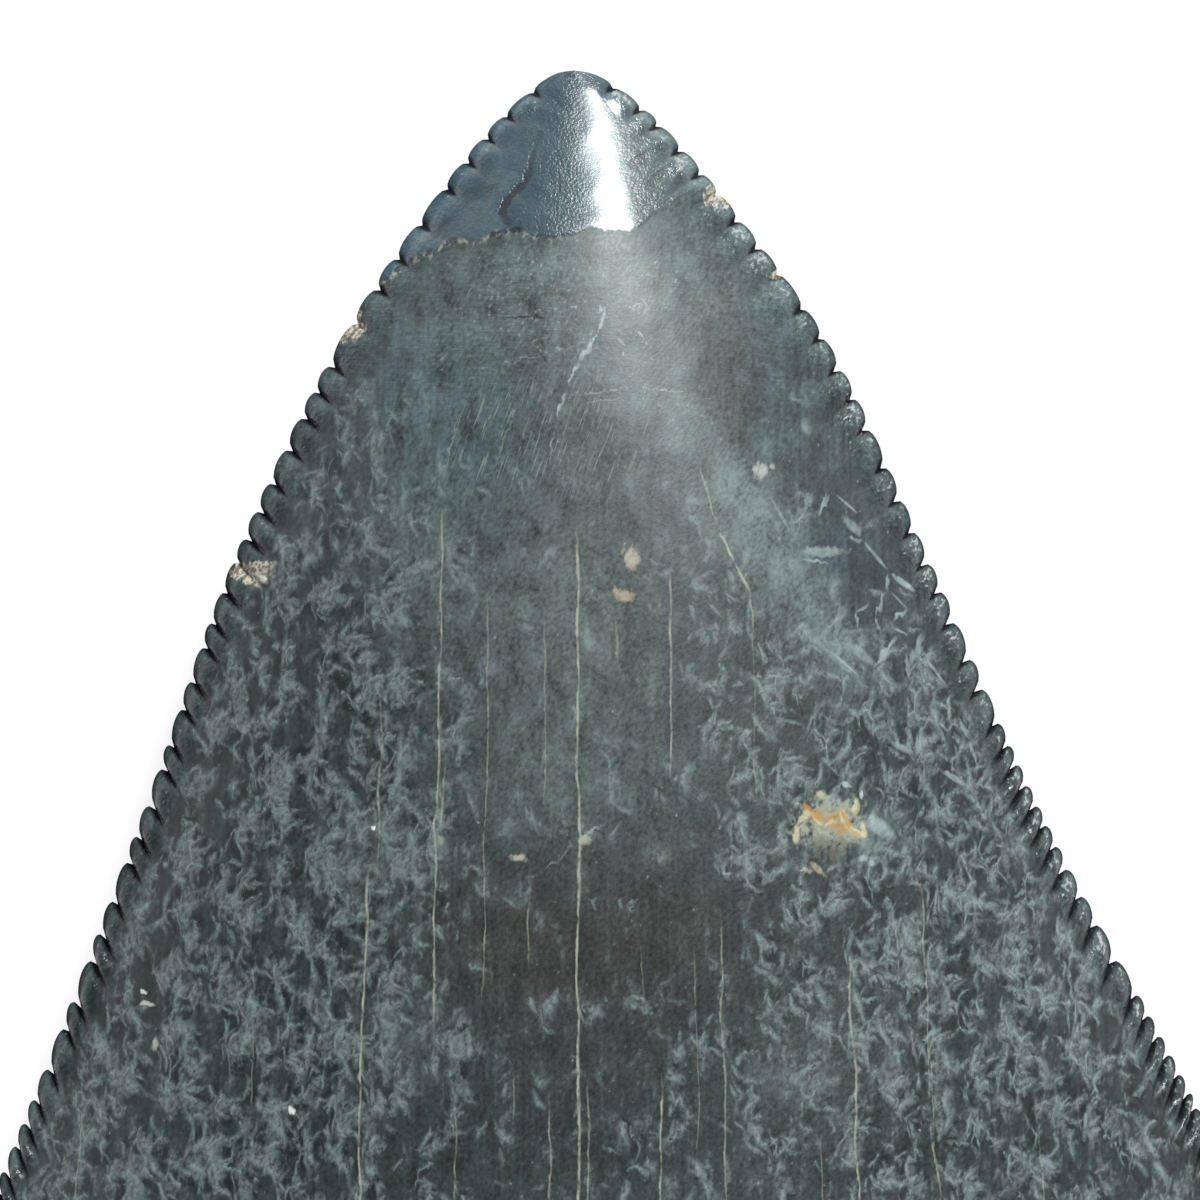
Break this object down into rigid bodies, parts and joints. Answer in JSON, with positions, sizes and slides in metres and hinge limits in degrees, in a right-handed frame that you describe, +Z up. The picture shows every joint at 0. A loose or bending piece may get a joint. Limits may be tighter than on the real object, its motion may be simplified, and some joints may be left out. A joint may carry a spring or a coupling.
{
  "type": "fossil megalodon tooth",
  "caption": "Large fossil shark tooth: triangular serrated crown on a thick two-lobed root, lying on its flat labial face.",
  "frame": {"origin": "on the surface the tooth lies on, under the middle of its bounding box", "axes": "+Z up, out of the bowed lingual face; +Y along the tooth, towards the tip of the crown"},
  "size_m": [0.1002, 0.12, 0.0247],
  "materials": {
    "fossil_enamel": "semi-gloss slate-grey fossil enamel with pale veins and hairline cracks; the root is matt and porous"
  },
  "bodies": {
    "root": {"tooth": "fossil_enamel"}
  },
  "joints": []
}
